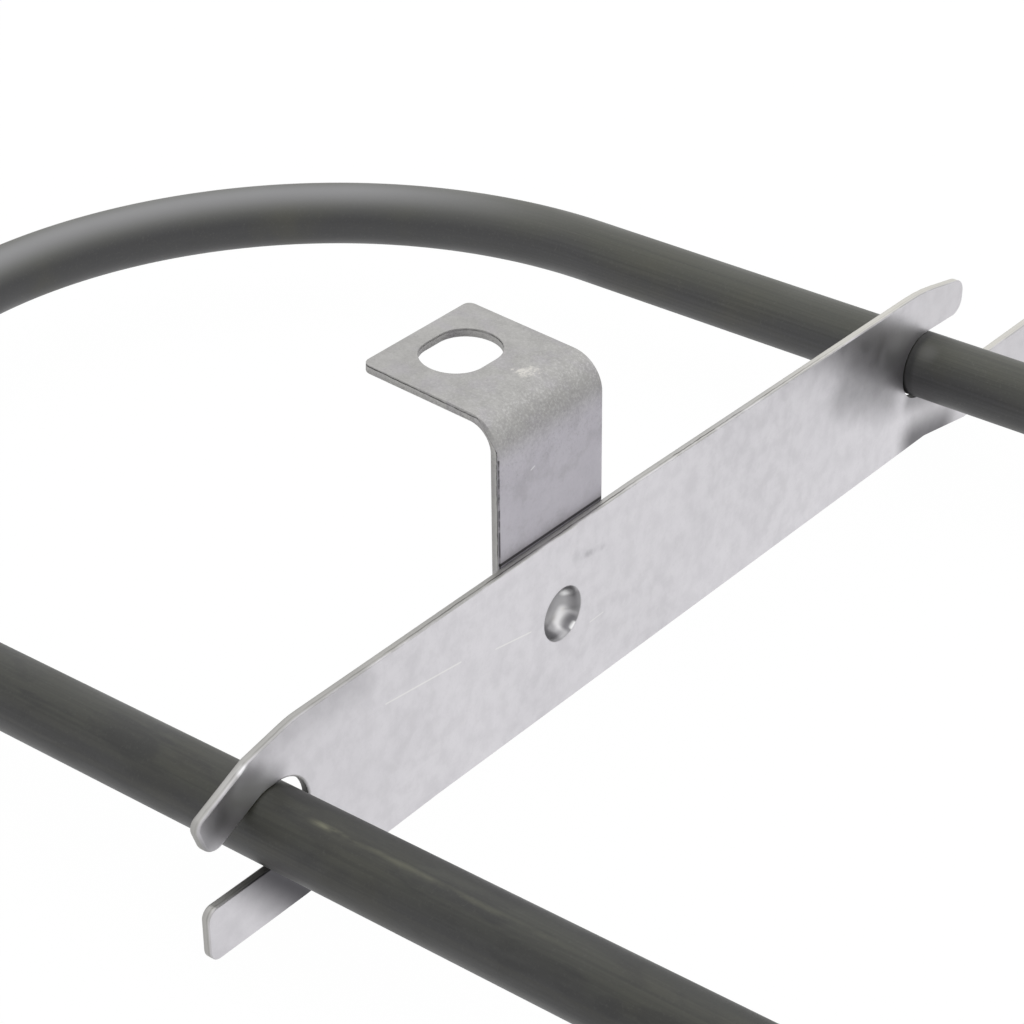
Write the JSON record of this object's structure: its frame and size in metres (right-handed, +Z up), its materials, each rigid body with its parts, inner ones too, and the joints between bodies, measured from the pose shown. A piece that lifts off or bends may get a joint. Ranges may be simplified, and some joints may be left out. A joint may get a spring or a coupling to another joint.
{
  "type": "tubular heating element",
  "caption": "Hairpin metal-sheathed heating element with a forked sheet strip across its legs, a folded fixing tab with an oblong hole, and threaded bushings with terminal studs.",
  "frame": {"origin": "midway between the two bushings, in the plane of their sealing faces", "axes": "+X along the legs towards the terminals, +Y from the near leg to the far leg, +Z up, the side that the fixing tab stands on"},
  "size_m": [0.3195, 0.1702, 0.043],
  "materials": {
    "sheath_steel": "annealed and oxidised to a dark olive grey, satin",
    "magnesia": "compacted powder",
    "resistance_wire": "bright drawn wire",
    "plated_sheet": "pale satin sheet with fine scratches and sheared edges",
    "pin_steel": "drawn, plated",
    "seal_compound": "cured, matt",
    "bead_ceramic": "pressed, unglazed",
    "bushing_brass": "turned",
    "gasket_fibre": "matt fibre",
    "washer_steel": "zinc plated",
    "terminal_plated_steel": "nickel plated"
  },
  "bodies": {
    "root": {"sheath": "sheath_steel", "magnesia_fill": "magnesia", "resistance_coil": "resistance_wire", "support_strip": "plated_sheet", "fixing_tab": "plated_sheet", "cold_pin_near": "pin_steel", "end_seal_near": "seal_compound", "insulator_near": "bead_ceramic", "bushing_near": "bushing_brass", "sealing_washer_near": "gasket_fibre", "bushing_washer_near": "washer_steel", "lock_nut_near": "bushing_brass", "terminal_base_nut_near": "terminal_plated_steel", "terminal_washer_near": "terminal_plated_steel", "terminal_clamp_nut_near": "terminal_plated_steel", "cold_pin_far": "pin_steel", "end_seal_far": "seal_compound", "insulator_far": "bead_ceramic", "bushing_far": "bushing_brass", "sealing_washer_far": "gasket_fibre", "bushing_washer_far": "washer_steel", "lock_nut_far": "bushing_brass", "terminal_base_nut_far": "terminal_plated_steel", "terminal_washer_far": "terminal_plated_steel", "terminal_clamp_nut_far": "terminal_plated_steel"}
  },
  "joints": []
}
